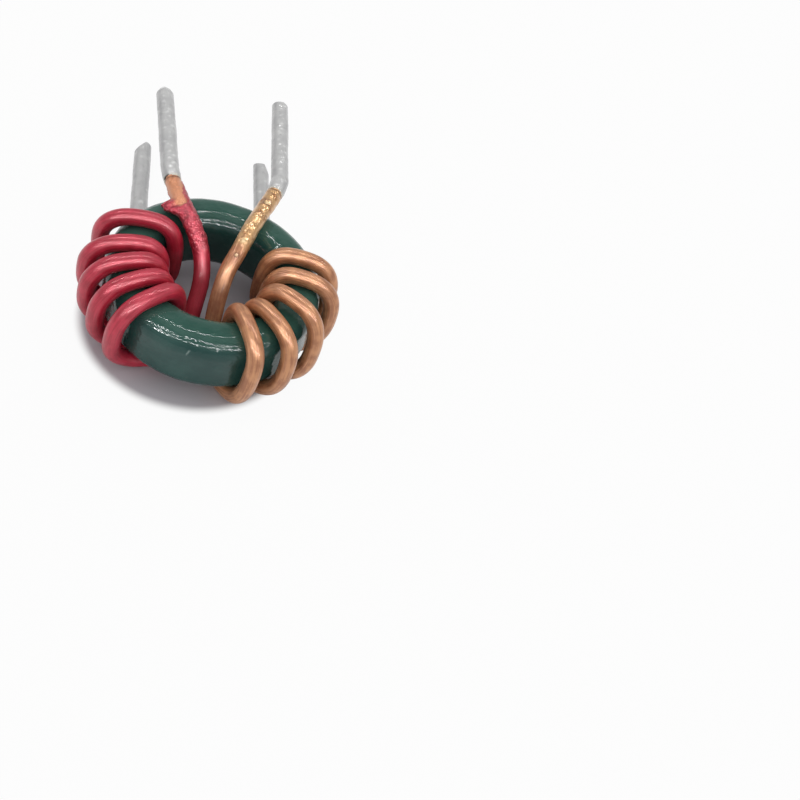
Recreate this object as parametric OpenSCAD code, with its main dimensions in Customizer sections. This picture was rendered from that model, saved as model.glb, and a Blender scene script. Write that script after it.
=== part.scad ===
// Toroidal inductor: two separate windings on one coated ring core, with four tinned leads.
// The ring lies flat, its axis along +Z. All four leads leave along +Y. z = 0 is the surface
// that the undersides of the turns rest on, and the origin is the middle of the footprint.
// The sub-parts are worked out about the ring's axis, and placed() moves them to the origin.

/* [Core] */
// Outer diameter of the coated ring
core_outer_d = 14; // [13.8:0.1:14.4]
// Diameter of the hole through the ring
core_inner_d = 8.2; // [8:0.1:8.4]
// Height of the ring along its axis
core_height = 4.5; // [4.3:0.1:5]
// Rounding of the ring's four edges
core_edge_r = 1.2; // [1.1:0.05:1.3]

/* [Wire] */
// Diameter of the enamelled wire
wire_d = 1.1; // [0.9:0.05:1.1]
// Sides of the wire's section
wire_sides = 10; // [8:1:14]
// Longest distance between two rings of the wire's surface
ring_gap = 0.55; // [0.5:0.05:1.2]

/* [Red turns] */
// Azimuth of the first turn on the outer wall, counted from +X towards the leads
red_first = 222; // [221:0.5:223]
// Azimuth from one turn to the next on the outer wall
red_pitch = -14; // [-14.5:0.5:-13.5]
// Azimuth of the first turn in the hole
red_hole_first = 227; // [226.5:0.5:227.5]
// Azimuth of the last turn on the outer wall
red_last = 159.5; // [158:0.5:160]
// Azimuth of the last turn in the hole
red_hole_last = 138; // [136:0.5:140]
// Air between the wire and the outer wall
red_stand_off = 0.52; // [0.45:0.01:0.6]

/* [Copper turns] */
// Azimuth of the first turn on the outer wall, counted from +X towards the leads
copper_first = -73; // [-74:0.5:-72]
// Azimuth from one turn to the next on the outer wall
copper_pitch = 18.5; // [18:0.5:19]
// Azimuth of the first turn in the hole
copper_hole_first = -74; // [-75:0.5:-73]
// Azimuth in the hole by which the copper turns are looser than side by side
copper_hole_slack = 2; // [1.5:0.5:2.5]
// Extra azimuth before the fourth turn
copper_wide_gap = 8; // [7:0.5:9]
// Azimuth of the last turn on the outer wall
copper_last = 5; // [4:0.5:6]
// Azimuth of the last turn in the hole
copper_hole_last = 22; // [20:0.5:24]
// Air between the wire and the outer wall
copper_stand_off = 0.38; // [0.38:0.01:0.5]
// Height of the one loose turn over the top face
loose_lift = 0.5; // [0.3:0.05:0.6]

/* [Tinned leads] */
// Diameter of a lead over its solder
lead_d = 1.24; // [1.16:0.02:1.3]
// Length of the tinned part of the red winding's upper lead
red_top_length = 8.7; // [6:0.1:12]
// Length of the tinned part of the red winding's lower lead
red_bottom_length = 9; // [6:0.1:12]
// Length of the tinned part of the copper-coloured winding's upper lead
copper_top_length = 9; // [6:0.1:12]
// Length of the tinned part of the copper-coloured winding's lower lead
copper_bottom_length = 9.1; // [6:0.1:12]
// Rounding of a lead's tip
tip_r = 0.4; // [0.2:0.05:0.5]

/* [Hidden] */

core_green = [0.16, 0.30, 0.25];
enamel_red = [0.72, 0.20, 0.26];
enamel_copper = [0.74, 0.48, 0.32];
solder_grey = [0.72, 0.72, 0.71];

footprint_mid = [-0.08, 4.46, 0];  // middle of the footprint, seen from the ring's axis
wire_r = wire_d / 2;
lead_r = lead_d / 2;
core_outer_r = core_outer_d / 2;
core_inner_r = core_inner_d / 2;
section_mid_r = (core_outer_r + core_inner_r) / 2;
section_width = core_outer_r - core_inner_r;
snug_gap = 0.06;                 // air between the wire and the core where the wire is tight
core_mid_z = wire_d + snug_gap + core_height / 2;

// The wire's loop round the core's section is a superellipse in four quarters. A quarter's
// roundness is 2 for an ellipse and grows towards a rectangle.
hole_roundness = 3;
lower_roundness = 2.15;
// How early a crossing reaches its azimuth on the outer wall: above and beneath the core
top_sweep = 1.4;
bottom_sweep = 2;
// The wire leans between these angles of the loop as it climbs the outer wall
lean_angle = 50;
loop_step = 15;                  // degrees between two points of a loop
entry_angle = -90;               // where the loops take over from the upper lead
leave_angle = 240;               // where they hand over to the lower lead

// Each winding crosses the top of the core this many times
turn_count = 5;
touching_gap = 0.02;             // air between two wires that lie side by side
hole_wire_r = core_inner_r - wire_r - snug_gap;  // where the wire's centre runs in the hole
side_by_side = 2 * asin((wire_r + touching_gap / 2) / hole_wire_r);
red_hole_pitch = -side_by_side;
copper_hole_pitch = side_by_side + copper_hole_slack;
lean = 3;                        // how far the foot of a turn lags behind its top, in degrees
top_lift = 0.05;                 // air between the wire and the top face
red_roundness = 2.7;             // of the wire over the core's outer top edge
copper_roundness = 2.6;
last_stand_off = 0.38;           // air between the last turn of each winding and the outer wall
gap_turn = 3;                    // the copper turn that the wide gap comes before
loose_turn = 2;                  // the copper turn that stands off the top face
red_entry_azimuth = 246;         // where the upper lead comes down through the hole
copper_entry_azimuth = -93;

on_top = core_mid_z + core_height / 2 + wire_r;  // centre of a wire that lies on the top face
on_floor = wire_r + 0.04;                        // centre of a wire that runs beneath the core
red_over = on_top + 0.1;
copper_over = on_top + 0.5;

// Route of each upper lead, laid out for a 14 mm core, from its tinned part over the top face
// and down through the hole to beneath the core
red_upper_route = [
    [-3.3, 8, red_over], [-3, 6.4, red_over], [-2.4, 4.6, red_over], [-1.6, 2.9, 5.9],
    [-1, 1.8, 4.9], [-0.8, 0.6, 3.6], [-1.1, -0.8, 2.3], [-1.5, -2.3, 1.2], [-1.8, -3.3, 0.8],
    [-2.6, -4, on_floor]
];
copper_upper_route = [
    [4.2, 8, copper_over], [3.8, 6.7, copper_over], [3, 5, copper_over - 0.1], [2.1, 3.2, 6.4],
    [1.4, 1.7, 5.7], [0.7, 0.4, 4.8], [0.3, -0.9, 3.5], [0.1, -2.2, 2], [0, -3.2, 1.1],
    [0.1, -4, 0.7], [0.4, -4.7, on_floor]
];
// Route of each lower lead, from the hole outwards beneath the core to its tinned part
red_lower_route = [
    [-3.8, 3.2, 0.6], [-4.4, 4, on_floor], [-5, 5.2, on_floor], [-4.9, 6.6, 0.6], [-4.9, 8, lead_r]
];
copper_lower_route = [
    [4.7, 1.9, 0.6], [5.1, 2.8, on_floor], [4.9, 4.2, on_floor], [4.5, 5.6, on_floor],
    [4.3, 6.8, 0.6], [4.2, 8, lead_r]
];
// Directions of the tinned leads
red_upper_dir = [-0.06, 1, -0.01];
copper_upper_dir = [0.06, 1, -0.01];
red_lower_dir = [0.01, 1, 0];
copper_lower_dir = [0.03, 1, 0];

solder_edge = 0.15;              // length of the taper where the solder starts
tip_steps = 6;
fine = 64;

function unit(v) = v / norm(v);
function last(list) = list[len(list) - 1];
function signed_pow(v, e) = sign(v) * pow(abs(v), e);
function ease(t) = t * t * (3 - 2 * t);
function clamp01(t) = min(1, max(0, t));

// One turn of a winding: its azimuth at the top of the outer wall, at the foot of it and in the
// hole, its air off the wall and off the top face, and its roundness over the outer top edge
function make_turn(outer, inner, stand_off, lift, roundness) =
    [outer, outer - lean, inner, stand_off, lift, roundness];

// The turns of one winding in order, evenly spaced but for a wide gap, without the last
function make_turns(first, pitch, hole_first, hole_pitch, stand_off, roundness, wide_gap = 0,
        loose = -1) = [
    for (k = [0 : turn_count - 2])
        let (apart = k < gap_turn ? 0 : wide_gap)
        make_turn(first + k * pitch + apart, hole_first + k * hole_pitch + apart, stand_off,
            k == loose ? loose_lift : top_lift, roundness)
];

// Azimuth of the wire on the outer wall at an angle of its loop
function leaning(phi, turn) =
    turn[1] + (turn[0] - turn[1]) * ease(clamp01((phi + lean_angle) / (2 * lean_angle)));

// Centre of the wire at angle phi of its loop: 0 on the outer wall, 90 on top, 180 in the hole
function loop_point(phi, turn, hole_azimuth) =
    let (
        c = cos(phi),
        s = sin(phi),
        roundness = c < 0 ? hole_roundness : s > 0 ? turn[5] : lower_roundness,
        reach_out = section_width / 2 + wire_r + turn[3],
        reach_in = section_width / 2 + wire_r + snug_gap,
        reach_up = core_height / 2 + wire_r + (s > 0 ? turn[4] : snug_gap),
        r = section_mid_r + (c > 0 ? reach_out : reach_in) * signed_pow(c, 2 / roundness),
        z = core_mid_z + reach_up * signed_pow(s, 2 / roundness),
        outwards = clamp01((r - section_mid_r + reach_in) / (reach_out + reach_in)),
        outer_azimuth = leaning(phi, turn),
        sweep = pow(1 - outwards, s > 0 ? top_sweep : bottom_sweep),
        azimuth = outer_azimuth + (hole_azimuth - outer_azimuth) * sweep
    )
    [r * cos(azimuth), r * sin(azimuth), z];

// All loops of one winding, in order
function loops(turns, entry_azimuth) = [
    for (k = [0 : len(turns) - 1])
        let (
            first = k == 0,
            from_azimuth = first ? entry_azimuth : turns[k - 1][2],
            start = first ? entry_angle : loop_step - 180,
            stop = k == len(turns) - 1 ? leave_angle : 180
        )
        for (phi = [start : loop_step : stop])
            phi < 0 ? loop_point(phi, turns[k], from_azimuth)
            : phi <= 180 ? loop_point(phi, turns[k], turns[k][2])
            : loop_point(phi, [turns[k][2], turns[k][2], 0, turns[k][3], turns[k][4], 2], turns[k][2])
];

// A smooth curve through the route's points, with new points no further apart than gap
function between(a, b, c, d, t) =
    0.5 * (2 * b + (c - a) * t + (2 * a - 5 * b + 4 * c - d) * t * t
        + (3 * b - a - 3 * c + d) * t * t * t);
function before(route, i) = i > 0 ? route[i - 1] : 2 * route[0] - route[1];
function after(route, i) = i + 2 < len(route) ? route[i + 2] : 2 * route[i + 1] - route[i];
function smooth(route, gap) = [
    for (i = [0 : len(route) - 2])
        let (steps = ceil(norm(route[i + 1] - route[i]) / gap))
        for (j = [0 : steps - 1])
            between(before(route, i), route[i], route[i + 1], after(route, i), j / steps),
    last(route)
];

// Directions along a path, with its two ends given
function directions(path, start_dir, end_dir) = [
    for (i = [0 : len(path) - 1])
        i == 0 ? unit(start_dir)
        : i == len(path) - 1 ? unit(end_dir)
        : unit(path[i + 1] - path[i - 1])
];
// A sideways vector at each point that turns with the path without twisting
function across(side, dir) = unit(side - (side * dir) * dir);
function sideways(dirs) = [
    for (i = 0, side = across([0, 0, 1], dirs[0]); i < len(dirs);
         i = i + 1, side = across(side, dirs[min(i, len(dirs) - 1)]))
        side
];

// A round wire along a path, closed by a flat face at each end
module wire(path, dirs) {
    sides = sideways(dirs);
    rings = len(path);
    n = wire_sides;
    points = [
        for (i = [0 : rings - 1])
            let (v = cross(dirs[i], sides[i]))
            for (j = [0 : n - 1])
                path[i] + wire_r * (cos(360 * j / n) * sides[i] + sin(360 * j / n) * v)
    ];
    skin = [
        for (i = [0 : rings - 2])
            for (j = [0 : n - 1])
                let (a = i * n + j, b = i * n + (j + 1) % n)
                for (face = [[a, a + n, b], [b, a + n, b + n]])
                    face
    ];
    start_cap = [for (j = [1 : n - 2]) [0, j, j + 1]];
    top = (rings - 1) * n;
    end_cap = [for (j = [1 : n - 2]) [top, top + j + 1, top + j]];
    polyhedron(points, concat(skin, start_cap, end_cap), convexity = 10);
}

// One winding: from the upper tinned lead, through the hole, round the core, to the lower one
module winding(upper_route, turns, entry_azimuth, lower_route, upper_dir, lower_dir) {
    route = concat(upper_route, loops(turns, entry_azimuth), lower_route);
    path = smooth(route, ring_gap);
    wire(path, directions(path, -upper_dir, lower_dir));
}

// A straight tinned lead that starts flush on the wire's end face and ends in a rounded tip
module tinned_lead(start, dir, length) {
    tip = [
        for (i = [0 : tip_steps])
            let (a = 90 * i / tip_steps)
            [lead_r - tip_r + tip_r * cos(a), length - tip_r + tip_r * sin(a)]
    ];
    outline = concat([[0, 0], [wire_r, 0], [lead_r, solder_edge]], tip, [[0, length]]);
    heading = unit(dir);
    translate(start)
        rotate([0, acos(heading.z), atan2(heading.y, heading.x)])
            rotate_extrude($fn = fine)
                polygon(outline);
}

// Half section of the ring: a rectangle with rounded corners
module ring_section() {
    union() {
        square([section_width - 2 * core_edge_r, core_height], center = true);
        square([section_width, core_height - 2 * core_edge_r], center = true);
        for (x = [-1, 1], y = [-1, 1])
            translate([x * (section_width / 2 - core_edge_r), y * (core_height / 2 - core_edge_r)])
                circle(r = core_edge_r, $fn = fine);
    }
}

// Moves a sub-part from the ring's axis to the middle of the footprint
module placed() {
    translate(-footprint_mid)
        children();
}

// Ferrite ring in its coat of green epoxy
module core() {
    color(core_green)
        placed()
            translate([0, 0, core_mid_z])
                rotate_extrude($fn = 2 * fine)
                    translate([section_mid_r, 0])
                        ring_section();
}

module red_winding() {
    red_turns = make_turns(red_first, red_pitch, red_hole_first, red_hole_pitch, red_stand_off,
        red_roundness);
    last_turn = make_turn(red_last, red_hole_last, last_stand_off, top_lift, red_roundness);
    color(enamel_red)
        placed()
            winding(red_upper_route, concat(red_turns, [last_turn]), red_entry_azimuth,
                red_lower_route, red_upper_dir, red_lower_dir);
}

module copper_winding() {
    copper_turns = make_turns(copper_first, copper_pitch, copper_hole_first, copper_hole_pitch,
        copper_stand_off, copper_roundness, copper_wide_gap, loose_turn);
    last_turn = make_turn(copper_last, copper_hole_last, last_stand_off, top_lift,
        copper_roundness);
    color(enamel_copper)
        placed()
            winding(copper_upper_route, concat(copper_turns, [last_turn]), copper_entry_azimuth,
                copper_lower_route, copper_upper_dir, copper_lower_dir);
}

module red_top_lead() {
    color(solder_grey)
        placed()
            tinned_lead(red_upper_route[0], red_upper_dir, red_top_length);
}

module red_bottom_lead() {
    color(solder_grey)
        placed()
            tinned_lead(last(red_lower_route), red_lower_dir, red_bottom_length);
}

module copper_top_lead() {
    color(solder_grey)
        placed()
            tinned_lead(copper_upper_route[0], copper_upper_dir, copper_top_length);
}

module copper_bottom_lead() {
    color(solder_grey)
        placed()
            tinned_lead(last(copper_lower_route), copper_lower_dir, copper_bottom_length);
}

core();
red_winding();
copper_winding();
red_top_lead();
red_bottom_lead();
copper_top_lead();
copper_bottom_lead();
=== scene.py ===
import math
from collections import namedtuple

import bpy
import numpy as np
from mathutils import Matrix, Vector, noise


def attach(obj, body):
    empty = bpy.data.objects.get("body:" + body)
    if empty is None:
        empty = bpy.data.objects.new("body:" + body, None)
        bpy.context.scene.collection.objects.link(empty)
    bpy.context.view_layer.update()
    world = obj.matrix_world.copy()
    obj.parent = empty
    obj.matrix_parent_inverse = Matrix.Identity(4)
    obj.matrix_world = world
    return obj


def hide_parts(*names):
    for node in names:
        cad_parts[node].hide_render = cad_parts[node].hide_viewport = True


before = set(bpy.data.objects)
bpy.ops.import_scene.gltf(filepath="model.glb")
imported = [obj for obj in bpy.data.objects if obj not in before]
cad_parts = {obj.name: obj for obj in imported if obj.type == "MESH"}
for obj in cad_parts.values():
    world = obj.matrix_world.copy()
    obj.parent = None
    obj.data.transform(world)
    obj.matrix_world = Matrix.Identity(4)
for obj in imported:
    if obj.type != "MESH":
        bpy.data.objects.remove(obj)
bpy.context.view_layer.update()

MM = 0.001

# ---------------------------------------------------------------- sizes, in mm, as in the CAD
# All points are about the ring's axis. to_frame() moves them to the frame's origin.
FOOTPRINT_MID = np.array([-0.08, 4.46, 0.0])
CORE_OUTER_R = 7.0
CORE_INNER_R = 4.1
CORE_HEIGHT = 4.5
CORE_EDGE_R = 1.2
WIRE_R = 0.55
LEAD_R = 0.62
SNUG_GAP = 0.06                              # air between a tight wire and the core
CORE_MID_Z = 2 * WIRE_R + SNUG_GAP + CORE_HEIGHT / 2
SECTION_MID_R = (CORE_OUTER_R + CORE_INNER_R) / 2
SECTION_WIDTH = CORE_OUTER_R - CORE_INNER_R

# A turn is a superellipse round the core's section. Its roundness is the power, where 2 is a
# circle's and more is squarer.
HOLE_ROUNDNESS = 3
LOWER_ROUNDNESS = 2.15                       # at the foot of the outer wall
TOP_SWEEP = 1.4                              # how late a turn swings round over the top face
BOTTOM_SWEEP = 2                             # and under the core
LEAN_ANGLE = 50                              # degrees of the loop over which it leans, each way
LOOP_STEP = 15                               # degrees of the loop from one point to the next
ENTRY_ANGLE = -90                            # where on its loop the first turn starts
LEAVE_ANGLE = 240                            # and where the last one ends

TURN_COUNT = 5
LEAN = 3                                     # degrees of azimuth from a turn's foot to its top
TOP_LIFT = 0.05                              # air under a turn on the top face
LOOSE_LIFT = 0.5                             # and under the one loose turn
LOOSE_TURN = 2
GAP_TURN = 3                                 # the turn after the wide gap
LAST_STAND_OFF = 0.38
TOUCHING_GAP = 0.02
HOLE_WIRE_R = CORE_INNER_R - WIRE_R - SNUG_GAP
SIDE_BY_SIDE = 2 * math.degrees(math.asin((WIRE_R + TOUCHING_GAP / 2) / HOLE_WIRE_R))
ON_TOP = CORE_MID_Z + CORE_HEIGHT / 2 + WIRE_R
ON_FLOOR = WIRE_R + 0.04
RED_OVER = ON_TOP + 0.1
COPPER_OVER = ON_TOP + 0.5

# Azimuths of one turn in degrees, at the top of the outer wall, at its foot and in the hole, the
# air off the wall and off the top face, and the roundness over the outer top edge
Turn = namedtuple("Turn", "top foot hole stand_off lift roundness")


def make_turn(outer, hole, stand_off, lift, roundness):
    return Turn(outer, outer - LEAN, hole, stand_off, lift, roundness)


def make_turns(first, pitch, hole_first, hole_pitch, stand_off, roundness, wide_gap=0, loose=None):
    """The turns of one winding in order, evenly spaced but for a wide gap, without the last."""
    turns = []
    for k in range(TURN_COUNT - 1):
        apart = 0 if k < GAP_TURN else wide_gap
        lift = LOOSE_LIFT if k == loose else TOP_LIFT
        turns.append(make_turn(first + k * pitch + apart, hole_first + k * hole_pitch + apart,
                               stand_off, lift, roundness))
    return turns


RED = dict(
    turns=[
        *make_turns(first=222, pitch=-14, hole_first=227, hole_pitch=-SIDE_BY_SIDE,
                    stand_off=0.52, roundness=2.7),
        make_turn(outer=159.5, hole=138, stand_off=LAST_STAND_OFF, lift=TOP_LIFT, roundness=2.7),
    ],
    entry_azimuth=246,
    upper=[
        (-3.3, 8, RED_OVER), (-3, 6.4, RED_OVER), (-2.4, 4.6, RED_OVER), (-1.6, 2.9, 5.9),
        (-1, 1.8, 4.9), (-0.8, 0.6, 3.6), (-1.1, -0.8, 2.3), (-1.5, -2.3, 1.2),
        (-1.8, -3.3, 0.8), (-2.6, -4, ON_FLOOR),
    ],
    lower=[
        (-3.8, 3.2, 0.6), (-4.4, 4, ON_FLOOR), (-5, 5.2, ON_FLOOR), (-4.9, 6.6, 0.6),
        (-4.9, 8, LEAD_R),
    ],
    upper_dir=(-0.06, 1, -0.01),
    lower_dir=(0.01, 1, 0),
    lead_length=dict(top=8.7, bottom=9),
    dull_below=4.9,                          # height below which the wire has painted shade in the hole
)
COPPER = dict(
    turns=[
        *make_turns(first=-73, pitch=18.5, hole_first=-74, hole_pitch=SIDE_BY_SIDE + 2,
                    stand_off=0.38, roundness=2.6, wide_gap=8, loose=LOOSE_TURN),
        make_turn(outer=5, hole=22, stand_off=LAST_STAND_OFF, lift=TOP_LIFT, roundness=2.6),
    ],
    entry_azimuth=-93,
    upper=[
        (4.2, 8, COPPER_OVER), (3.8, 6.7, COPPER_OVER), (3, 5, COPPER_OVER - 0.1),
        (2.1, 3.2, 6.4), (1.4, 1.7, 5.7), (0.7, 0.4, 4.8), (0.3, -0.9, 3.5), (0.1, -2.2, 2),
        (0, -3.2, 1.1), (0.1, -4, 0.7), (0.4, -4.7, ON_FLOOR),
    ],
    lower=[
        (4.7, 1.9, 0.6), (5.1, 2.8, ON_FLOOR), (4.9, 4.2, ON_FLOOR), (4.5, 5.6, ON_FLOOR),
        (4.3, 6.8, 0.6), (4.2, 8, LEAD_R),
    ],
    upper_dir=(0.06, 1, -0.01),
    lower_dir=(0.03, 1, 0),
    lead_length=dict(top=9, bottom=9.1),
    dull_below=5.2,
)

# ---------------------------------------------------------------- small maths

TINY = 1e-12


def unit(v):
    v = np.asarray(v, float)
    return v / np.linalg.norm(v)


def clamp01(t):
    return np.clip(t, 0.0, 1.0)


def ease(t):
    """A smooth step from 0 at t = 0 to 1 at t = 1."""
    t = clamp01(t)
    return t * t * (3 - 2 * t)


def signed_pow(v, e):
    return math.copysign(abs(v) ** e, v) if v else 0.0


def cos_sin(degrees):
    """The cosine and the sine, exactly 0 where they should be."""
    a = math.radians(degrees)
    return [0.0 if abs(v) < TINY else v for v in (math.cos(a), math.sin(a))]


def angles_round(count):
    return np.arange(count) * 2 * math.pi / count


def turned(angle, degrees):
    """The angle measured from another side, given in degrees, from -pi to pi."""
    return (angle - math.radians(degrees) + math.pi) % (2 * math.pi) - math.pi


def distances_along(path):
    return np.r_[0, np.cumsum(np.linalg.norm(np.diff(path, axis=0), axis=1))]


def at_distances(path, along, at):
    """The points of a path at given distances along it."""
    return np.stack([np.interp(at, along, column) for column in path.T], 1)


def grain(points, size, seed):
    """Smooth noise from -1 to 1 at each point in mm, with features about size mm across."""
    shift = Vector((seed, 1.7 * seed, -seed))
    values = [noise.noise(Vector(p) / size + shift) for p in points.reshape(-1, 3)]
    return np.array(values).reshape(points.shape[:-1])


def grains(points, heights_and_sizes, seed, seed_step=1):
    """The sum of several grains, each with its height and its size in mm."""
    return sum(height * grain(points, size, seed + k * seed_step)
               for k, (height, size) in enumerate(heights_and_sizes))


# ---------------------------------------------------------------- the route of a wire

ROUTE_GAP = 0.2              # mm at most between the points of a smoothed route
WIRE_RING_GAP = 0.06         # mm between the rings of a wire's surface


def loop_point(phi, turn, hole_azimuth):
    """Centre of the wire at angle phi of its loop: 0 outer wall, 90 top, 180 hole."""
    c, s = cos_sin(phi)
    roundness = HOLE_ROUNDNESS if c < 0 else turn.roundness if s > 0 else LOWER_ROUNDNESS
    reach_out = SECTION_WIDTH / 2 + WIRE_R + turn.stand_off
    reach_in = SECTION_WIDTH / 2 + WIRE_R + SNUG_GAP
    reach_up = CORE_HEIGHT / 2 + WIRE_R + (turn.lift if s > 0 else SNUG_GAP)
    r = SECTION_MID_R + (reach_out if c > 0 else reach_in) * signed_pow(c, 2 / roundness)
    z = CORE_MID_Z + reach_up * signed_pow(s, 2 / roundness)
    outwards = min(1, max(0, (r - SECTION_MID_R + reach_in) / (reach_out + reach_in)))
    leaning = float(ease((phi + LEAN_ANGLE) / (2 * LEAN_ANGLE)))
    outer_azimuth = turn.foot + (turn.top - turn.foot) * leaning
    sweep = (1 - outwards) ** (TOP_SWEEP if s > 0 else BOTTOM_SWEEP)
    azimuth = math.radians(outer_azimuth + (hole_azimuth - outer_azimuth) * sweep)
    return (r * math.cos(azimuth), r * math.sin(azimuth), z)


def route(winding):
    """Points of one winding from its upper tinned lead to its lower one."""
    points = list(winding["upper"])
    hole, start = winding["entry_azimuth"], ENTRY_ANGLE
    for turn in winding["turns"]:
        points += [loop_point(phi, turn, hole) for phi in range(start, 0, LOOP_STEP)]
        points += [loop_point(phi, turn, turn.hole) for phi in range(0, 181, LOOP_STEP)]
        hole, start = turn.hole, LOOP_STEP - 180
    down = turn._replace(top=hole, foot=hole)
    points += [loop_point(phi, down, hole)
               for phi in range(180 + LOOP_STEP, LEAVE_ANGLE + 1, LOOP_STEP)]
    return np.array(points + list(winding["lower"]))


def smooth(points, gap):
    """A Catmull-Rom curve through the points, in steps of about gap at most."""
    out = []
    for i in range(len(points) - 1):
        b, c = points[i], points[i + 1]
        a = points[i - 1] if i else 2 * b - c
        d = points[i + 2] if i + 2 < len(points) else 2 * c - b
        steps = math.ceil(np.linalg.norm(c - b) / gap)
        for t in np.arange(steps) / steps:
            out.append(
                0.5 * (2 * b + (c - a) * t + (2 * a - 5 * b + 4 * c - d) * t ** 2
                       + (3 * b - a - 3 * c + d) * t ** 3)
            )
    out.append(points[-1])
    return np.array(out)


def wire_path(winding):
    """Points at even distances along a winding, and those distances."""
    path = smooth(route(winding), ROUTE_GAP)
    along = distances_along(path)
    at = np.linspace(0, along[-1], math.ceil(along[-1] / WIRE_RING_GAP) + 1)
    return at_distances(path, along, at), at


def to_frame(points):
    """From mm about the ring's axis to metres in the frame."""
    return (np.asarray(points) - FOOTPRINT_MID) * MM


# ---------------------------------------------------------------- meshes


def grid_mesh(name, rings, layers, closed_along=False):
    """A mesh from rings of points, in mm about the ring's axis, each ring closed on itself. The
    last ring joins the first if closed_along, and otherwise both have a cap. Each layer is a
    number or a vector for each point."""
    count, sides = rings.shape[:2]
    index = np.arange(count * sides).reshape(count, sides)
    nxt = np.roll(index, -1, axis=1)
    a, b = (index, np.roll(index, -1, axis=0)) if closed_along else (index[:-1], index[1:])
    an, bn = (nxt, np.roll(nxt, -1, axis=0)) if closed_along else (nxt[:-1], nxt[1:])
    faces = np.stack([a, an, bn, b], -1).reshape(-1, 4).tolist()
    if not closed_along:
        faces += [index[0][::-1].tolist(), index[-1].tolist()]
    mesh = bpy.data.meshes.new(name)
    mesh.from_pydata(to_frame(rings.reshape(-1, 3)).tolist(), [], faces)
    mesh.polygons.foreach_set("use_smooth", [True] * len(mesh.polygons))
    for layer, values in layers.items():
        kind, key = ("FLOAT_VECTOR", "vector") if np.ndim(values) == 3 else ("FLOAT", "value")
        data = mesh.attributes.new(layer, kind, "POINT")
        shape = (count, sides) + np.shape(values)[2:]
        data.data.foreach_set(key, np.broadcast_to(values, shape).reshape(-1))
    mesh.update()
    return link_object(name, mesh)


def link_object(name, data):
    obj = bpy.data.objects.new(name, data)
    bpy.context.collection.objects.link(obj)
    return obj


def tube_frames(path, start_dir, end_dir):
    """Two sideways vectors for each point of a path, which turn with it without twisting. The
    first starts as near to straight up as it can."""
    dirs = np.gradient(path, axis=0)
    dirs[0], dirs[-1] = start_dir, end_dir
    dirs /= np.linalg.norm(dirs, axis=1, keepdims=True)
    side = unit(np.array([0.0, 0.0, 1.0]) - dirs[0][2] * dirs[0])
    sides = []
    for d in dirs:
        side = unit(side - np.dot(side, d) * d)
        sides.append(side)
    sides = np.array(sides)
    return sides, np.cross(dirs, sides)


def tube_rings(path, frames, radius):
    """Rings of points round a path, and their outward directions. radius is in mm, an array
    (rings, sides)."""
    up, across = frames
    angle = angles_round(radius.shape[1])
    outward = (np.cos(angle)[None, :, None] * up[:, None]
               + np.sin(angle)[None, :, None] * across[:, None])
    return path[:, None] + radius[:, :, None] * outward, outward


# ---------------------------------------------------------------- material helper


def is_socket(value):
    return isinstance(value, bpy.types.NodeSocket)


class Tree:
    """Short calls for adding nodes to a node tree."""

    def __init__(self, tree):
        self.tree = tree

    def node(self, kind, **settings):
        n = self.tree.nodes.new(kind)
        for key, value in settings.items():
            setattr(n, key, value)
        return n

    def link(self, a, b):
        self.tree.links.new(a, b)

    def give(self, socket, value):
        if is_socket(value):
            self.link(value, socket)
        else:
            socket.default_value = value

    def ramp(self, value, low, high, to_low=0.0, to_high=1.0):
        """A smooth step from to_low to to_high as value goes from low to high."""
        n = self.node("ShaderNodeMapRange", interpolation_type="SMOOTHSTEP")
        for key, given in (("Value", value), ("From Min", low), ("From Max", high),
                           ("To Min", to_low), ("To Max", to_high)):
            self.give(n.inputs[key], given)
        return n.outputs["Result"]

    def math(self, kind, a, b):
        n = self.node("ShaderNodeMath", operation=kind)
        self.give(n.inputs[0], a)
        self.give(n.inputs[1], b)
        return n.outputs[0]

    def times(self, a, b):
        return self.math("MULTIPLY", a, b)

    def rays(self, *names):
        """1 for the named kinds of rays and 0 for the others."""
        path = self.node("ShaderNodeLightPath")
        total = path.outputs[f"Is {names[0]} Ray"]
        for name in names[1:]:
            total = self.math("MAXIMUM", total, path.outputs[f"Is {name} Ray"])
        return total


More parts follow.
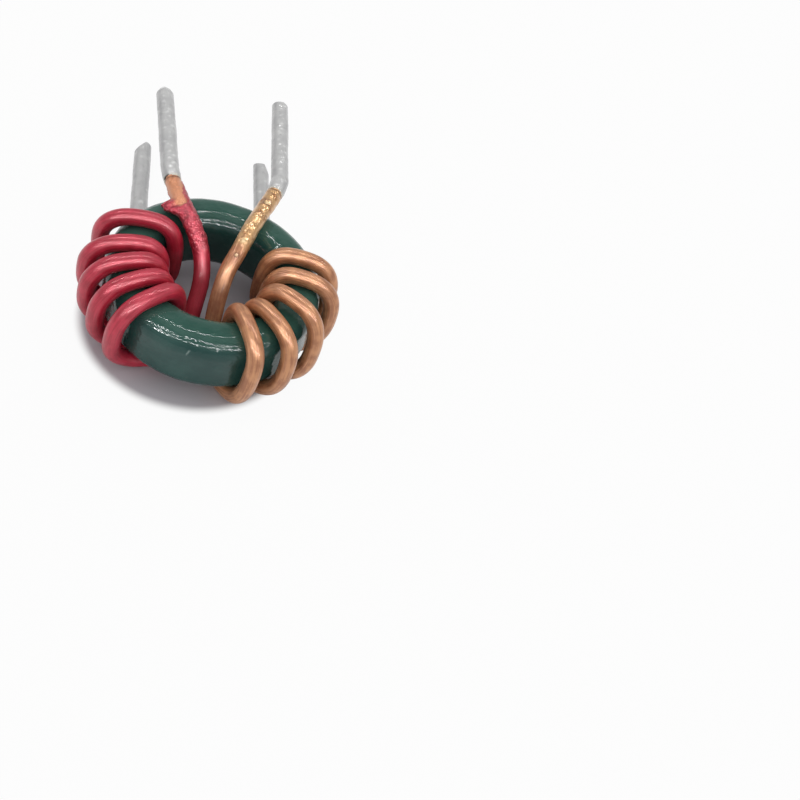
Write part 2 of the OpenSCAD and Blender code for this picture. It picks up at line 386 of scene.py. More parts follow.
class Nodes(Tree):
    """Short calls for building one material's node tree."""

    def __init__(self, name):
        self.material = bpy.data.materials.new(name)
        self.material.use_nodes = True
        super().__init__(self.material.node_tree)
        self.tree.nodes.clear()
        self.out = self.node("ShaderNodeOutputMaterial")
        self.shader = self.node("ShaderNodeBsdfPrincipled")
        self.link(self.shader.outputs[0], self.out.inputs["Surface"])
        self.coords = self.node("ShaderNodeTexCoord").outputs["Object"]

    def set(self, **values):
        for key, value in values.items():
            self.give(self.shader.inputs[key.replace("_", " ")], value)

    def noise(self, size_mm, detail=3.0, distortion=0.0, coords=None):
        """Noise from 0 to 1 with features of about size_mm."""
        n = self.node("ShaderNodeTexNoise")
        for key, value in (("Scale", 1 / (size_mm * MM)), ("Detail", detail),
                           ("Roughness", 0.55), ("Distortion", distortion),
                           ("Vector", coords or self.coords)):
            self.give(n.inputs[key], value)
        return n.outputs["Fac"]

    def cells(self, size_mm):
        """Distance to the nearest of points that lie about size_mm apart, in that unit."""
        n = self.node("ShaderNodeTexVoronoi")
        n.inputs["Scale"].default_value = 1 / (size_mm * MM)
        self.link(self.coords, n.inputs["Vector"])
        return n.outputs["Distance"]

    def specks(self, gap_mm, size, patch_mm):
        """Small dots about gap_mm apart and size of that across, in patches of about patch_mm."""
        dots = self.ramp(self.cells(gap_mm), 0.0, size, 1.0, 0.0)
        return self.times(dots, self.ramp(self.noise(patch_mm, detail=1), 0.52, 0.6))

    def layer(self, name, output="Fac"):
        """The values that grid_mesh() stored on the mesh under that name."""
        return self.node("ShaderNodeAttribute", attribute_name=name).outputs[output]

    def mix(self, factor, a, b):
        """A colour between a and b."""
        n = self.node("ShaderNodeMix", data_type="RGBA")
        self.give(n.inputs["Factor"], factor)
        sockets = [i for i in n.inputs if i.type == "RGBA"]
        for socket, value in zip(sockets, (a, b)):
            self.give(socket, value if is_socket(value) else (*value, 1))
        return [o for o in n.outputs if o.type == "RGBA"][0]

    def bump(self, height, depth_mm, strength=1.0, under=None):
        n = self.node("ShaderNodeBump")
        n.inputs["Distance"].default_value = depth_mm * MM
        self.give(n.inputs["Strength"], strength)
        self.link(height, n.inputs["Height"])
        if under is not None:
            self.link(under, n.inputs["Normal"])
        return n.outputs[0]


# ---------------------------------------------------------------- materials
# Sizes and depths are in mm, colours are linear. A number after a colour is how much of the
# colour shows.

COAT_TONES = ((0.0135, 0.059, 0.053), (0.028, 0.087, 0.076))
# The next pair is a painted sheen: a lighter colour, and how much of it shows where the coat faces
# up.
COAT_PAINTED_SHEEN, PAINTED_SHEEN = (0.12, 0.28, 0.18), 0.16
COAT_DUST, DUST = (0.20, 0.25, 0.22), 0.45
COAT_SCUFF = (0.25, 0.33, 0.31)
COAT_ROUGHNESS = (0.09, 0.15)                # lowest and highest
PEEL_SIZE, PEEL_DEPTH = 0.28, 0.024

RED_TONES = ((0.40, 0.014, 0.036), (0.56, 0.028, 0.062))
RED_HEATED, RED_BURNT = (0.46, 0.026, 0.052), (0.31, 0.015, 0.033)
COPPER_TONES = ((0.38, 0.155, 0.074), (0.61, 0.29, 0.14))
COPPER_HEATED, COPPER_BURNT = (0.62, 0.37, 0.17), (0.42, 0.20, 0.08)
RED_BARE, COPPER_BARE = (0.66, 0.26, 0.12), (0.72, 0.40, 0.18)
# the pale middle of a blister: partly its own pale colour, partly a painted highlight
BLISTER_PALE_AND_HIGHLIGHT = (0.86, 0.70, 0.42)
SINGED = (0.17, 0.065, 0.025)
NICKS = 0.6                                  # how much burnt colour a nick shows
# Painted shade on the wire deep in the hole: a darker colour, how much of it shows, and the tint
# that dims its gleam
HOLE_SHADE_COLOUR, HOLE_SHADE = (0.10, 0.035, 0.03), 0.35
HOLE_SHADE_TINT = (0.15, 0.15, 0.15)               # of the gleam under the painted shade
STREAK_SIZE, STREAK_DEPTH = 0.12, 0.007      # across the wire
SATIN = (0.30, 0.40)                         # lowest and highest roughness of wire and solder
VARNISH = (0.22, 0.65)                       # how much of it shows, as wound and scorched
VARNISH_ROUGHNESS = 0.15

TIN_TONES = ((0.33, 0.33, 0.338), (0.45, 0.45, 0.45))
# painted light and painted highlights of the solder, on its upper side and its drops
TIN_PAINTED_LIGHT = (0.80, 0.80, 0.79)
TIN_GRIME, GRIME = (0.26, 0.25, 0.24), 0.25
TIN_RIM = (0.60, 0.57, 0.48)
TIN_BURNT = (0.03, 0.022, 0.015)
LUMP_SIZE, LUMP_DEPTH = 0.4, 0.06


def core_coat():
    """Glossy bottle-green epoxy with an orange peel, specks of dust and one scuff, and a painted
    sheen that lightens its colour where it faces up."""
    m = Nodes("core_coating")
    green = m.mix(m.ramp(m.noise(2.2, detail=4), 0.32, 0.68), *COAT_TONES)
    # painted sheen: the colour lightens where the coat faces up
    green = m.mix(m.times(m.layer("upward"), PAINTED_SHEEN), green, COAT_PAINTED_SHEEN)
    dust = m.specks(gap_mm=0.5, size=0.07, patch_mm=1.4)
    colour = m.mix(m.times(dust, DUST), green, COAT_DUST)
    colour = m.mix(m.layer("scuff"), colour, COAT_SCUFF)
    rough = m.ramp(m.noise(0.9, detail=3), 0.3, 0.7, *COAT_ROUGHNESS)
    peel = m.bump(m.noise(PEEL_SIZE, detail=1), PEEL_DEPTH)
    m.set(Base_Color=colour, Roughness=rough, Normal=peel, IOR=1.4)
    return m.material


def enamelled(name, tones, heated, burnt, bare, metallic, hot_metallic, wrinkle_size,
              wrinkle_depth):
    """Enamelled wire: its metal under a clear satin varnish, in two tones. Layer scorch wrinkles
    the varnish and heats its colour, with burnt blotches, layer bare shows the metal, layer pale
    lightens a blister with partly its own pale colour and partly a painted highlight, layer singe
    browns it, and layer dull paints shade on it deep in the hole, darkening its colour, dimming its
    gleam and roughening it."""
    m = Nodes(name)
    scorch, peeled, dull = m.layer("scorch"), m.layer("bare"), m.layer("dull")
    streaks = m.noise(STREAK_SIZE, detail=2, coords=m.layer("drawn", "Vector"))
    tone = m.times(m.math("ADD", m.noise(0.8), streaks), 0.5)
    colour = m.mix(m.ramp(tone, 0.38, 0.62), *tones)
    nicks = m.times(m.specks(gap_mm=0.6, size=0.09, patch_mm=1.6), NICKS)
    colour = m.mix(nicks, colour, burnt)
    blotch = m.ramp(m.noise(0.6, detail=3), 0.5, 0.66)
    colour = m.mix(scorch, colour, m.mix(blotch, heated, burnt))
    colour = m.mix(peeled, colour, bare)
    # pale blister middles: partly their own pale colour, partly a painted highlight
    colour = m.mix(m.layer("pale"), colour, BLISTER_PALE_AND_HIGHLIGHT)
    colour = m.mix(m.layer("singe"), colour, SINGED)
    # painted shade deep in the hole: a darker colour, and rougher
    painted_shade = m.times(dull, HOLE_SHADE)
    colour = m.mix(painted_shade, colour, HOLE_SHADE_COLOUR)
    rough = m.math("ADD", m.ramp(m.noise(0.25), 0.3, 0.7, *SATIN), painted_shade)
    hot = m.times(m.math("MAXIMUM", scorch, peeled), hot_metallic)
    gloss = m.math("SUBTRACT", 1, dull)
    drawn = m.bump(streaks, STREAK_DEPTH)
    wrinkles = m.bump(m.noise(wrinkle_size, detail=2, distortion=0.8), wrinkle_depth, scorch,
                      under=drawn)
    # the painted shade in the hole also dims the metal, the varnish and the gleam
    m.set(Base_Color=colour, Metallic=m.times(gloss, m.math("ADD", hot, metallic)),
          Roughness=rough, Normal=wrinkles,
          Coat_Weight=m.times(gloss, m.ramp(scorch, 0, 1, *VARNISH)),
          Coat_Roughness=VARNISH_ROUGHNESS, Coat_Normal=wrinkles,
          Specular_Tint=m.mix(dull, (1, 1, 1), HOLE_SHADE_TINT))
    return m.material


def red_enamel():
    return enamelled("red_enamel", RED_TONES, RED_HEATED, RED_BURNT, RED_BARE, metallic=0.18,
                     hot_metallic=0.3, wrinkle_size=0.16, wrinkle_depth=0.10)


def copper_enamel():
    return enamelled("copper_enamel", COPPER_TONES, COPPER_HEATED, COPPER_BURNT, COPPER_BARE,
                     metallic=0.32, hot_metallic=0.35, wrinkle_size=0.36, wrinkle_depth=0.04)


def solder():
    """Dull tin solder with painted light along its upper side and painted highlights on its drops
    (layer bright), pale where it thins out (layer rim) and burnt in one spot (layer burnt)."""
    m = Nodes("solder")
    grey = m.mix(m.ramp(m.noise(0.9, detail=3), 0.3, 0.7), *TIN_TONES)
    # painted light along the upper side and painted highlights on the drops
    grey = m.mix(m.layer("bright"), grey, TIN_PAINTED_LIGHT)
    grime = m.ramp(m.noise(0.4, detail=3), 0.55, 0.75)
    colour = m.mix(m.times(grime, GRIME), grey, TIN_GRIME)
    colour = m.mix(m.layer("rim"), colour, TIN_RIM)
    colour = m.mix(m.layer("burnt"), colour, TIN_BURNT)
    rough = m.ramp(m.noise(0.3, detail=2), 0.3, 0.7, *SATIN)
    lumps = m.bump(m.noise(LUMP_SIZE, detail=2), LUMP_DEPTH, strength=0.6)
    m.set(Base_Color=colour, Metallic=0.3, Roughness=rough, Normal=lumps, Coat_Weight=0.6,
          Coat_Roughness=VARNISH_ROUGHNESS, Coat_Normal=lumps)
    return m.material


# ---------------------------------------------------------------- the core

CORE_TURN_STEPS = 640
CORE_SECTION_STEPS = 120
CORNER_STEPS = 24
# The coat's unevenness and its orange peel, as heights and sizes in mm, and the most of both
COAT_RELIEF = ((0.030, 2.8), (0.013, 0.85), (0.006, 0.32))
COAT_RELIEF_MAX = 0.045
# The one scuff in the coat: its two ends as radius in mm, azimuth in degrees and height in mm
SCUFF = ((6.93, -104.4, 4.85), (6.97, -105.3, 4.6))
SCUFF_WIDTH = 0.08
SCUFF_DEPTH = 0.015
# The coat's colour has a painted sheen where it faces up: from this height of its outward
# direction, and over how much more this fades in
UPWARD_FROM, UPWARD_OVER = 0.5, 0.45


def core_section():
    """Points at even distances round the core's section, and their outward directions."""
    half_w, half_h = SECTION_WIDTH / 2 - CORE_EDGE_R, CORE_HEIGHT / 2 - CORE_EDGE_R
    corners = ((1, 1), (-1, 1), (-1, -1), (1, -1))
    outline = [
        (sx * half_w + CORE_EDGE_R * math.cos(a), sz * half_h + CORE_EDGE_R * math.sin(a))
        for quarter, (sx, sz) in enumerate(corners)
        for a in np.radians(np.linspace(0, 90, CORNER_STEPS) + 90 * quarter)
    ]
    closed = np.array(outline + outline[:1])
    along = distances_along(closed)
    at = np.arange(CORE_SECTION_STEPS) * along[-1] / CORE_SECTION_STEPS
    points = at_distances(closed, along, at)
    step = np.roll(points, -1, axis=0) - np.roll(points, 1, axis=0)
    out = np.stack([step[:, 1], -step[:, 0]], 1)
    return points, out / np.linalg.norm(out, axis=1, keepdims=True)


def near_segment(points, a, b, width):
    """1 on the segment from a to b and 0 further than width from it."""
    step = b - a
    t = clamp01((points - a) @ step / (step @ step))
    away = np.linalg.norm(points - a - t[..., None] * step, axis=-1)
    return ease((width - away) / width)


def build_core():
    """The coated ring. Its epoxy has pooled a little unevenly and has a fine orange peel."""
    section, out = core_section()
    angle = angles_round(CORE_TURN_STEPS)
    c, s = np.cos(angle)[:, None], np.sin(angle)[:, None]

    def spun(pairs, shift, lift):
        r = pairs[None, :, 0] + shift
        height = np.tile(pairs[:, 1] + lift, (CORE_TURN_STEPS, 1))
        return np.stack([r * c, r * s, height], -1)

    rings = spun(section, SECTION_MID_R, CORE_MID_Z)
    outward = spun(out, 0, 0)
    relief = np.clip(grains(rings, COAT_RELIEF, seed=3, seed_step=8), -COAT_RELIEF_MAX,
                     COAT_RELIEF_MAX)
    ends = [np.array([r * math.cos(math.radians(azimuth)), r * math.sin(math.radians(azimuth)), z])
            for r, azimuth, z in SCUFF]
    scuff = near_segment(rings, *ends, SCUFF_WIDTH)
    relief -= SCUFF_DEPTH * scuff
    # where the coat faces up, which carries its painted sheen
    upward = ease((outward[..., 2] - UPWARD_FROM) / UPWARD_OVER)
    return grid_mesh("core_body", rings + relief[..., None] * outward,
                     dict(scuff=scuff, upward=upward), closed_along=True)


# ---------------------------------------------------------------- the windings
# Sides of a wire or lead are in degrees round it, where 0 is its top

WIRE_SIDES = 44
STREAK_STRETCH = 14          # how much longer than wide the streaks that drawing leaves are
WIRE_RELIEF = ((0.010, 2.2), (0.004, 0.5))   # heights and sizes in mm, as wound
WRINKLES = ((0.06, 0.4), (0.04, 0.2))        # and where it is scorched
WRINKLE_LIFT = 0.035
ENAMEL_THICKNESS = 0.025
LOWEST_RELIEF, HIGHEST_RELIEF = -0.05, 0.12
# Raggedness of burnt enamel as heights and sizes in mm, how much of it moves the edges of the
# scorched and of the bare stretch, and the mm over which they fade out
RAGGED = ((1, 0.7), (0.6, 0.3))
SCORCH_RAGGED, SCORCH_FADE = 0.5, 1.2
PEEL_RAGGED, PEEL_FADE = 0.6, 0.2
BARE_FACING = 1.5            # how quickly the bare length falls off away from its longest side
# A dark line where the solder starts, as its reach each way in mm, how ragged and how dark it is
SOLDER_LINE, LINE_RAGGED, LINE_DARKNESS = 0.1, 0.08, 0.8
PEEL_LINE_DARKNESS = 0.5     # of the line round the bare metal
# A blister has a dark ring round a low dome. The spreads are in radii squared.
RING_SPREAD, RING_DARKNESS, DARKEST_RING = 0.05, 17, 0.85    # the second is for each mm of height
DOME_SPREAD, DOME_HEIGHT = 0.3, 0.4
FLAKE_RAGGED = 0.9
FLAKE_COVER = 3              # how far the flake hides the bare metal
# The mm over which the painted shade in the hole starts, inwards and downwards
HOLE_FADE, DULL_FADE = 0.4, 1.2
# How far the solder reaches past the CAD lead's end on to the bent wire, in mm
SOLDER_REACH = dict(red_top=1.4, red_bottom=0.5, copper_top=1.6, copper_bottom=0.6)
# Blisters of the copper-coloured enamel: mm from the solder, side, radius and height in mm, and how
# pale the middle is, which is partly the blister's own pale colour and partly a painted highlight
COPPER_BLISTERS = (
    (1.5, -5, 0.25, 0.05, 1.0), (2.75, -12, 0.18, 0.05, 0.1), (2.6, -60, 0.14, 0.05, 0.0),
    (3.7, 0, 0.14, 0.05, 0.3), (4.15, 8, 0.08, 0.04, 0.0), (4.3, -8, 0.08, 0.04, 0.0),
    (4.95, -5, 0.3, 0.012, 0.8), (6.05, -10, 0.15, 0.05, 0.9),
)
# Lumps of the flake of red enamel: mm from the solder, side, radius and height in mm
RED_LUMPS = (
    (1.85, 102, 0.20, 0.55), (2.05, 90, 0.22, 0.75), (2.3, 98, 0.18, 0.5), (2.6, 84, 0.24, 0.3),
    (2.95, 70, 0.30, 0.2),
)


def build_winding(name, winding, reach, bare, scorch, blisters=(), lumps=()):
    """One enamelled wire. Next to its upper solder the enamel is burnt off for a length that
    differs round the wire, and wrinkled beyond that. bare is the longest and shortest bare
    length in mm, and the side that it is longest on. scorch is the length of the wrinkled
    stretch in mm and the height of its wrinkles, where 1 is the highest."""
    path, along = wire_path(winding)
    frames = tube_frames(path, -unit(winding["upper_dir"]), unit(winding["lower_dir"]))
    seed = winding["entry_azimuth"] * 0.1
    rings, outward = tube_rings(path, frames, np.full((len(path), WIRE_SIDES), WIRE_R))
    from_solder = (along - reach)[:, None]
    angle = angles_round(WIRE_SIDES)[None, :]

    def from_spot(place, side, radius):
        """Distance from a place on the wire, in radii."""
        return np.hypot(from_solder - place, turned(angle, side) * WIRE_R) / radius

    ragged = grains(rings, RAGGED, seed + 5)
    longest, shortest, bare_side = bare
    facing = ((1 + np.cos(angle - math.radians(bare_side))) / 2) ** BARE_FACING
    bare_end = shortest + (longest - shortest) * facing
    scorch_end, ruffle = scorch
    scorched = ease((scorch_end - from_solder + SCORCH_RAGGED * ragged) / SCORCH_FADE)
    peeled = ease((bare_end - from_solder + PEEL_RAGGED * ragged) / PEEL_FADE)
    line = ease((SOLDER_LINE - np.abs(from_solder) + LINE_RAGGED * ragged) / SOLDER_LINE)
    peel_line = ease(1 - np.abs(2 * peeled - 1))
    singe = np.maximum(LINE_DARKNESS * line, PEEL_LINE_DARKNESS * peel_line)
    relief = grains(rings, WIRE_RELIEF, seed)
    wrinkled = ruffle * scorched * (1 - 0.8 * peeled)
    relief += wrinkled * (WRINKLE_LIFT + grains(rings, WRINKLES, seed + 2))
    relief -= ENAMEL_THICKNESS * peeled
    pale = np.zeros_like(singe)
    for place, side, radius, height, paleness in blisters:
        away = from_spot(place, side, radius)
        ring, dome = np.exp(-(away - 1) ** 2 / RING_SPREAD), np.exp(-away ** 2 / DOME_SPREAD)
        relief += height * (ring + DOME_HEIGHT * dome)
        singe = np.maximum(singe, min(DARKEST_RING, RING_DARKNESS * height) * ring)
        # partly the blister's own pale colour, partly a painted highlight
        pale = np.maximum(pale, paleness * dome)
    relief = np.clip(relief, LOWEST_RELIEF, HIGHEST_RELIEF)
    for place, side, radius, height in lumps:
        flake = np.exp(-from_spot(place, side, radius) ** 2)
        relief += height * flake * (1 + FLAKE_RAGGED * ragged)
        peeled = peeled * (1 - ease(FLAKE_COVER * flake))
    # the wire unwound along +Z and shortened, so that noise on it makes long streaks
    around = np.broadcast_to(angle, relief.shape)
    drawn = np.stack([WIRE_R * np.cos(around), WIRE_R * np.sin(around),
                      np.broadcast_to(along[:, None] / STREAK_STRETCH, relief.shape)], -1) * MM
    # painted shade: the wire is darkened inside the hole and below a height
    from_axis = np.hypot(rings[..., 0], rings[..., 1])
    in_hole = ease((CORE_INNER_R + HOLE_FADE / 2 - from_axis) / HOLE_FADE)
    dull = in_hole * ease((winding["dull_below"] - rings[..., 2]) / DULL_FADE)
    return grid_mesh(name, rings + relief[..., None] * outward,
                     dict(scorch=scorched, bare=peeled, singe=singe, pale=pale, drawn=drawn,
                          dull=dull))


# ---------------------------------------------------------------- the tinned leads

LEAD_RING_GAP = 0.07
LEAD_SIDES = 40
TIN_RELIEF = ((0.028, 1.7), (0.012, 0.6), (0.010, 0.25))    # heights and sizes in mm
TIN_RELIEF_MAX = 0.025
RIM_THICKNESS = 0.03         # of the solder where it starts
RIM_LENGTH = 0.5             # mm over which it thickens
RIM_RAGGED, RIM_GRAIN = 0.12, 0.8            # height and size in mm of its edge's waves
PALE_RIM, PALE_FADE = 0.35, 0.3              # mm of the rim that are pale, and the mm of fading
HIDDEN_DEPTH = 0.06          # how far below the wire's surface the solder's first rings lie
BEAD_STEP = dict(top=0.4, bottom=1.7)        # mm from one drop of solder to the next
DROP_HEIGHT = 0.06                           # mm at which a drop's painted highlight is brightest
# How much painted light lightens the solder along its upper side and how much painted highlight its
# drops get, and where that side starts and over how much it fades in, as a cosine
UPPER_PAINTED_LIGHT, DROP_PAINTED_HIGHLIGHT = 0.4, 0.6
UPPER_FROM, UPPER_OVER = 0.55, 0.4
# The burnt spot: its side, its length in mm and the mm over which it fades out, and the same
# across, as a cosine
BURNT_SIDE = math.radians(300)
BURNT_LENGTH, BURNT_FADE = 0.3, 0.15
BURNT_FROM, BURNT_OVER = 0.84, 0.08
CUT_REACH = 1.6              # mm from the tip over which its cuts fade out
TIP_FACE = (0.8, 0.6, 0.4, 0.2, 0.05)        # rings of a tip's end face, as shares of its radius
# Rounding of each tip, its cuts and how dark the burnt spot is
TIPS = dict(
    red_top=((0.34, 0.65, 1.15), (), 1.0),
    red_bottom=((0.16, 0.25, 1.6), ((0.8, 285, -0.1),), 0.0),
    copper_top=((0.15, 0.18, 2), ((0.2, 0, -0.1),), 0.0),
    copper_bottom=((0.07, 0.10, 2), ((0.38, 0, 0), (1.1, 90, 0.3)), 0.0),
)


def lead_path(winding, end, reach):
    """Centre line of a tinned end: a short stretch of the bent wire, then the straight lead."""
    wire, along = wire_path(winding)
    if end == "top":
        bent = wire[along < reach][::-1]
        heading, start = unit(winding["upper_dir"]), wire[0]
    else:
        bent = wire[along > along[-1] - reach]
        heading, start = unit(winding["lower_dir"]), wire[-1]
    length = winding["lead_length"][end]
    straight = np.arange(LEAD_RING_GAP, length, LEAD_RING_GAP)
    path = np.concatenate([bent, start + straight[:, None] * heading, [start + length * heading]])
    return path, heading


def beads(along, angle, length, step, seed):
    """Small round drops of solder about step apart, in a ragged row on the upper side of a lead."""
    draw = np.random.default_rng(seed)
    height = np.zeros(np.broadcast(along, angle).shape)
    for place in np.arange(0.5, length, step):
        middle = place + draw.uniform(-0.25, 0.25)
        side = draw.normal(0, 15)
        width, tall = draw.uniform(0.08, 0.14), draw.uniform(0.02, 0.06)
        across = turned(angle, side) * LEAD_R
        height += tall * np.exp(-((along - middle) ** 2 + across ** 2) / width ** 2)
    return height


def cut_back(outwards, angle, cuts):
    """How far a tip's slanted cuts take it back, that share of its radius from its axis."""
    back = np.zeros(np.broadcast(outwards, angle).shape)
    for deepest, side, start in cuts:
        across = outwards * np.cos(angle - math.radians(side))
        back += deepest * clamp01((across - start) / (1 - start))
    return back[..., None]


def build_lead(name, winding, end, reach, rounding, cuts, burnt):
    """Solder over the end of a wire: lumpy, with a rim where it stops and a shaped tip.
    rounding is the tip's (depth across, length along, power), where a power of 2 is round and
    1 is a straight chamfer. cuts are the tip's slanted cuts, each (length, side, how far from
    the axis towards that side it starts, in radii)."""
    path, heading = lead_path(winding, end, reach)
    frames = tube_frames(path, path[1] - path[0], heading)
    along = distances_along(path)[:, None]
    angle = angles_round(LEAD_SIDES)[None, :]
    seed = 0.37 * len(name) + reach
    flat = np.full((len(path), LEAD_SIDES), LEAD_R)
    middle, outward = tube_rings(path, frames, flat)
    radius = np.minimum(flat + grains(middle, TIN_RELIEF, seed), LEAD_R + TIN_RELIEF_MAX)
    drops = beads(along, angle, along[-1, 0], BEAD_STEP[end], len(name))
    radius += drops
    # painted light along the upper side and painted highlights on the drops, kept as layer bright
    bright = (UPPER_PAINTED_LIGHT * ease((np.cos(angle) - UPPER_FROM) / UPPER_OVER)
              + DROP_PAINTED_HIGHLIGHT * clamp01(drops / DROP_HEIGHT))
    # the solder thins out over the wire, along a ragged line
    edge = along - RIM_RAGGED * (1 + grain(middle, RIM_GRAIN, seed + 3))
    thinnest = WIRE_R + RIM_THICKNESS
    rim = thinnest + (radius - thinnest) * ease(edge / RIM_LENGTH)
    radius = np.where(edge < 0, WIRE_R - HIDDEN_DEPTH, rim)
    left = along[-1] - along
    depth, length, power = rounding
    into = clamp01((length - left) / length)
    radius = radius - depth * (1 - (1 - into ** power) ** (1 / power))
    rings, _ = tube_rings(path, frames, radius)
    fading = ease((CUT_REACH - left) / CUT_REACH)[..., None]
    rings = rings - cut_back(1, angle, cuts) * fading * heading
    shares = np.array(TIP_FACE)[:, None]
    face = (path[-1] + (shares * radius[-1])[..., None] * outward[-1]
            - cut_back(shares, angle, cuts) * heading)
    mark = (ease((BURNT_LENGTH - along) / BURNT_FADE)
            * ease((np.cos(angle - BURNT_SIDE) - BURNT_FROM) / BURNT_OVER))
    thin = ease((PALE_RIM - along) / PALE_FADE)
    on_face = ((0, len(TIP_FACE)), (0, 0))
    return grid_mesh(name, np.concatenate([rings, face]),
                     dict(burnt=np.pad(burnt * mark, on_face), rim=np.pad(thin, on_face),
                          bright=np.pad(bright, on_face)))


# ---------------------------------------------------------------- the pieces


def finish_piece(piece, material, node):
    piece.data.materials.append(material)
    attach(piece, "root")
    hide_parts(node)


finish_piece(build_core(), core_coat(), "core")
red_wire = build_winding("red_wire", RED, SOLDER_REACH["red_top"], bare=(2.7, -0.6, 35),
                         scorch=(6.0, 1.0), lumps=RED_LUMPS)
finish_piece(red_wire, red_enamel(), "red_winding")
copper_wire = build_winding("copper_wire", COPPER, SOLDER_REACH["copper_top"], bare=(0, 0, 0),
                            scorch=(5.8, 0.5), blisters=COPPER_BLISTERS)
finish_piece(copper_wire, copper_enamel(), "copper_winding")
tin = solder()
for colour, winding in (("red", RED), ("copper", COPPER)):
    for end in ("top", "bottom"):
        key = f"{colour}_{end}"
        lead = build_lead(f"{key}_tinning", winding, end, SOLDER_REACH[key], *TIPS[key])
        finish_piece(lead, tin, f"{key}_lead")

# ---------------------------------------------------------------- floor and room

FLOOR_HALF = 1.5             # m
FLOOR_GLOW = 0.94            # how much of the floor's white doesn't take shadows
FLOOR_OPEN = (0.66, 0.66, 0.66)
# painted shade: a darker floor colour round and under the ring
FLOOR_PAINTED_SHADE = (0.48, 0.465, 0.50)
# Up to the first radius from SHADE_MID the floor takes its full shadow, and from the second it is
# open, in mm, as it is seen by the camera and as it is mirrored. Within the radii as seen, its
# colour also turns to a darker painted shade.
SHADE_MID = (-1.0, -0.3, 0)
SHADE_SEEN = (6.8, 7.7)
SHADE_MIRRORED = (7.5, 10.0)
WALL_SEEN = 0.98             # how bright the camera sees the walls, as bright as the floor
ROOM_LIGHT = 0.80            # of the world, where 1 lights a white surface to white
# How bright the mirrored room is at the horizon, between and overhead, and where each ends, in
# degrees above the horizon
ROOM_BANDS = (0.57, 0.10, 0.7)
ROOM_HEIGHTS = (42, 55, 62, 82)


def build_floor():
    """Plain pale floor, far wider than the view, which still takes a soft shadow, with painted
    shade in a darker colour round and under the ring.
    """
    mesh = bpy.data.meshes.new("floor")
    signs = ((-1, -1), (1, -1), (1, 1), (-1, 1))
    mesh.from_pydata([(x * FLOOR_HALF, y * FLOOR_HALF, 0) for x, y in signs], [], [(0, 1, 2, 3)])
    floor = link_object("floor", mesh)
    m = Nodes("floor_white")
    away = m.node("ShaderNodeVectorMath", operation="DISTANCE")
    m.link(m.coords, away.inputs[0])
    away.inputs[1].default_value = to_frame(SHADE_MID)
    away = m.math("DIVIDE", away.outputs["Value"], MM)
    m.set(Base_Color=m.mix(m.ramp(away, *SHADE_SEEN), FLOOR_PAINTED_SHADE, FLOOR_OPEN), Roughness=0.9)
    seen = m.times(m.rays("Camera"), m.ramp(away, *SHADE_SEEN))
    mirrored = m.times(m.rays("Glossy", "Transmission"), m.ramp(away, *SHADE_MIRRORED))
    blend = m.node("ShaderNodeMixShader")
    m.link(m.times(m.math("ADD", seen, mirrored), FLOOR_GLOW), blend.inputs[0])
    m.link(m.shader.outputs[0], blend.inputs[1])
    m.link(m.node("ShaderNodeEmission").outputs[0], blend.inputs[2])
    m.link(blend.outputs[0], m.out.inputs["Surface"])
    mesh.materials.append(m.material)


def build_room():
    """An even light from all round, behind white walls for what is seen, and a paler and a
    dimmer band and a bright ceiling for what is mirrored."""
    world = bpy.data.worlds.new("room")
    bpy.context.scene.world = world
    world.use_nodes = True
    t = Tree(world.node_tree)
    direction = t.node("ShaderNodeSeparateXYZ")
    t.link(t.node("ShaderNodeTexCoord").outputs["Generated"], direction.inputs[0])
    low, dim, dim_end, high = [math.sin(math.radians(angle)) for angle in ROOM_HEIGHTS]
    horizon, between, overhead = ROOM_BANDS
    lower = t.ramp(direction.outputs["Z"], low, dim, horizon, between)
    room = t.ramp(direction.outputs["Z"], dim_end, high, lower, overhead)
    mirrored = t.ramp(t.rays("Glossy", "Transmission"), 0, 1, ROOM_LIGHT, room)
    seen = t.ramp(t.rays("Camera"), 0, 1, mirrored, WALL_SEEN)
    background = world.node_tree.nodes["Background"]
    t.link(seen, background.inputs["Strength"])
    background.inputs["Color"].default_value = (1, 1, 1, 1)


# ---------------------------------------------------------------- lamps

LAMP_DISTANCE = 250          # mm from the ring
# Each lamp's azimuth from +X and elevation in degrees, as seen from the ring, its length and width
# in mm, its power in W, and whether it is seen only in reflections or in none. The bars draw the
# bright lines on the coat.
LAMPS = dict(
    overhead_lamp=(40, 74, 160, 160, 0.12, False),
    front_low_bar=(-95, 39, 560, 2.5, 0.8, True),
    front_high_bar=(-98, 61, 560, 2.5, 0.7, True),
    back_high_bar=(83, 66, 560, 2.5, 0.5, True),
)


def area_lamp(name, azimuth, elevation, length, width, power, mirrored):
    a, e = math.radians(azimuth), math.radians(elevation)
    away = Vector((math.cos(e) * math.cos(a), math.cos(e) * math.sin(a), math.sin(e)))
    middle = Vector(np.array([0, 0, CORE_MID_Z]) - FOOTPRINT_MID)
    lamp = bpy.data.lights.new(name, "AREA")
    lamp.shape = "RECTANGLE"
    lamp.size, lamp.size_y = length * MM, width * MM
    lamp.energy = power
    obj = link_object(name, lamp)
    obj.location = (middle + away * LAMP_DISTANCE) * MM
    obj.rotation_mode = "QUATERNION"
    obj.rotation_quaternion = away.to_track_quat("Z", "Y")
    obj.visible_glossy = mirrored
    obj.visible_diffuse = not mirrored


build_floor()
build_room()
for lamp_name, settings in LAMPS.items():
    area_lamp(lamp_name, *settings)

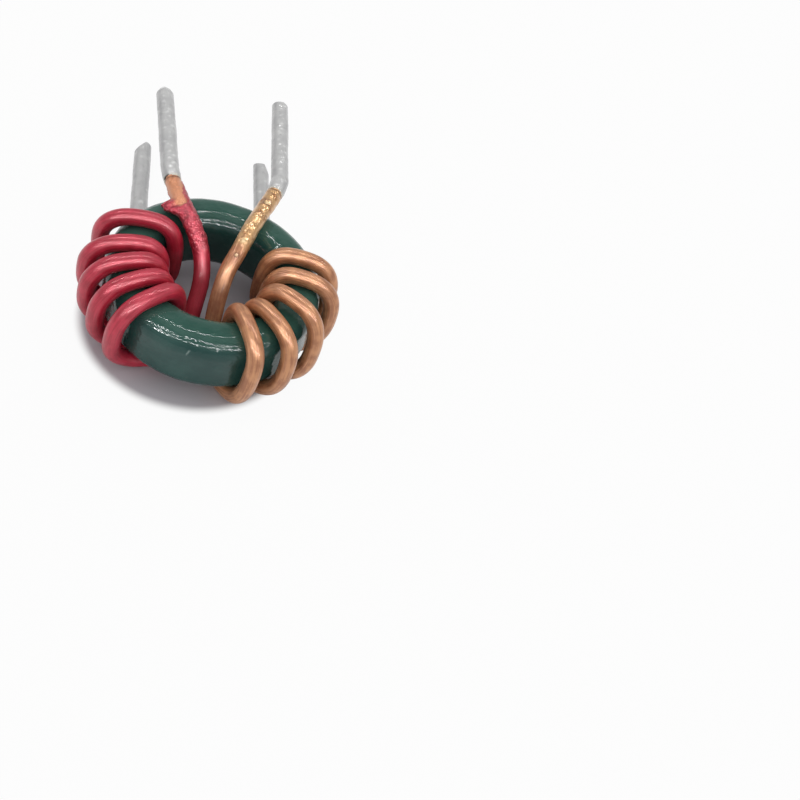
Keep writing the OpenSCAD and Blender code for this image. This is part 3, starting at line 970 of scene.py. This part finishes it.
# ---------------------------------------------------------------- camera
# The camera looks down on the ring's middle, which lands on AIM_PIXEL of the 800-pixel frame
CAMERA_ELEVATION = 46.1                      # degrees above the floor
CAMERA_AZIMUTH = -10.0                       # degrees that it stands round from -Y, towards -X
CAMERA_ROLL = 13.8                           # degrees
CAMERA_DISTANCE = 60.0                       # mm from the ring's middle
FOCAL_PX = 874.0                             # focal length in pixels
AIM_PIXEL = (213.0, 289.4)
FRAME_PX = 800
SENSOR_MM = 36
NEAREST, FURTHEST = 1 * MM, 10               # what the camera sees, in m


def camera_basis():
    """Right, up and forward of a camera whose frame's middle would look at the ring."""
    e, r, a = (math.radians(v) for v in (CAMERA_ELEVATION, CAMERA_ROLL, CAMERA_AZIMUTH))
    right = np.array([1.0, 0.0, 0.0])
    up = np.array([0.0, math.sin(e), math.cos(e)])
    forward = np.array([0.0, math.cos(e), -math.sin(e)])
    rolled = (math.cos(r) * right + math.sin(r) * up, math.cos(r) * up - math.sin(r) * right)
    turn = np.array([[math.cos(a), -math.sin(a), 0], [math.sin(a), math.cos(a), 0], [0, 0, 1]])
    return np.array([turn @ rolled[0], turn @ rolled[1], turn @ forward])


def swing(start, end):
    """The rotation that takes direction start to direction end by the shortest way."""
    return np.array(Vector(start).rotation_difference(Vector(end)).to_matrix())


def place_camera():
    half = FRAME_PX / 2
    aim = unit([(AIM_PIXEL[0] - half) / FOCAL_PX, (half - AIM_PIXEL[1]) / FOCAL_PX, 1.0])
    # in the camera's own axes the ring lies along aim, so the axes swing back by that much
    axes = swing((0, 0, 1), aim) @ camera_basis()
    middle = to_frame((0, 0, CORE_MID_Z))
    data = bpy.data.cameras.new("camera")
    data.sensor_width = SENSOR_MM
    data.lens = FOCAL_PX / FRAME_PX * SENSOR_MM
    data.clip_start, data.clip_end = NEAREST, FURTHEST
    camera = link_object("camera", data)
    camera.location = Vector(middle - aim @ axes * CAMERA_DISTANCE * MM)
    camera.rotation_euler = Matrix((axes[0], axes[1], -axes[2])).transposed().to_euler()
    bpy.context.scene.camera = camera


place_camera()
bpy.context.scene.view_settings.view_transform = "Standard"
